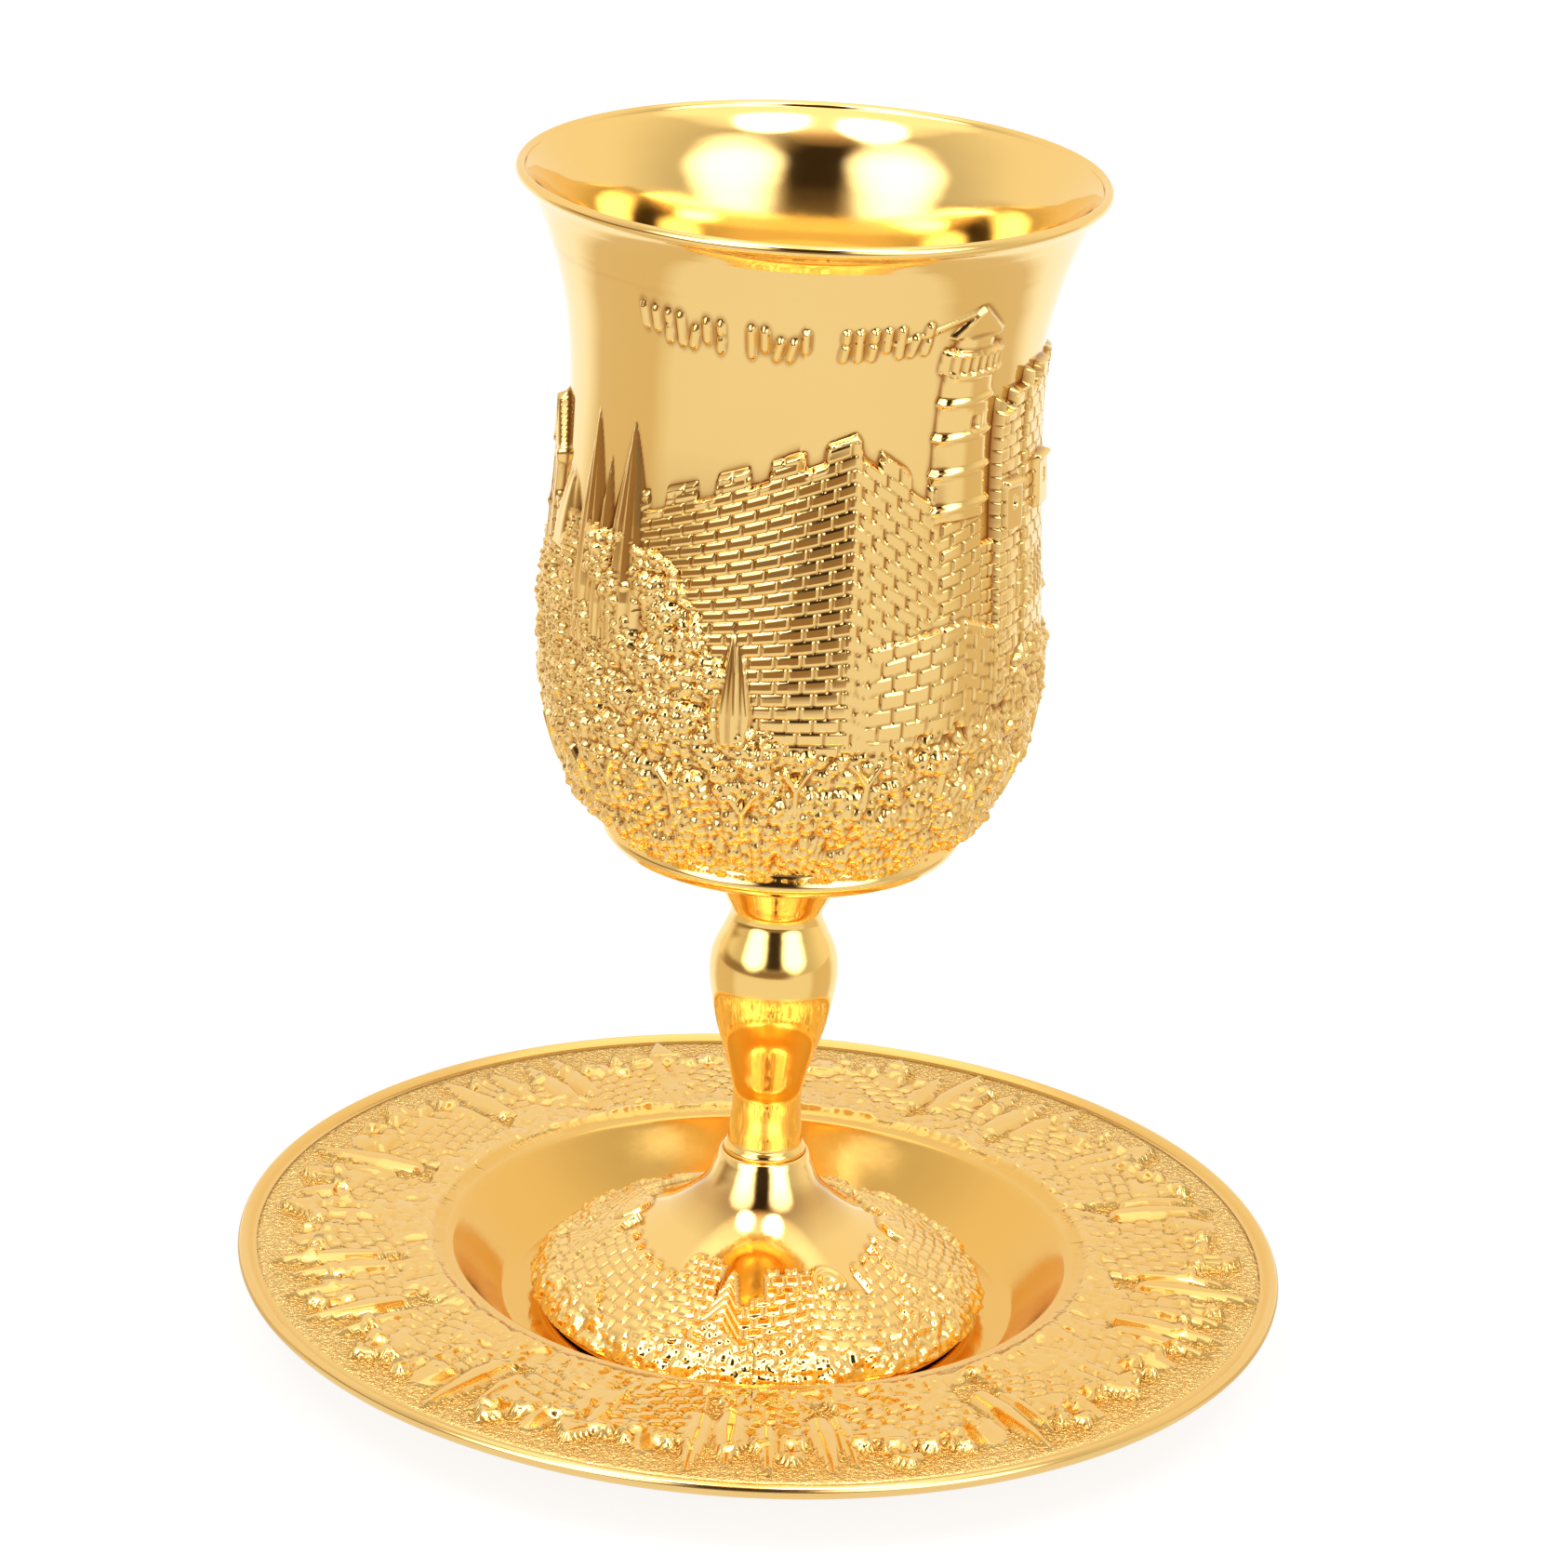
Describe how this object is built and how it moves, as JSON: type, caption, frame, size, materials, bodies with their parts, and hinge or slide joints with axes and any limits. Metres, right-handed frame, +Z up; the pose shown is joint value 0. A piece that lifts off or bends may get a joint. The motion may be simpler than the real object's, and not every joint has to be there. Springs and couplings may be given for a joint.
{
  "type": "kiddush cup on its saucer",
  "caption": "Gold footed goblet with a flared bell bowl, carved with a walled town, standing in the hollow of its broad carved saucer.",
  "frame": {"origin": "middle of the saucer's flat underside, on the surface the set stands on", "axes": "+Z up along the goblet's axis, -Y towards the front that the picture shows, +X to the right seen from there"},
  "size_m": [0.14, 0.14, 0.1588],
  "materials": {
    "saucer_gold": "gold plate, polished hollow and rim, finely stippled border with raised relief",
    "foot_gold": "gold plate, polished cone and raised relief",
    "stem_gold": "gold plate, polished, with faint lengthwise streaks",
    "bowl_gold": "gold plate, mirror polished at lip and inside, with raised relief below"
  },
  "bodies": {
    "root": {"saucer": "saucer_gold", "foot": "foot_gold", "stem": "stem_gold", "bowl": "bowl_gold"}
  },
  "joints": []
}
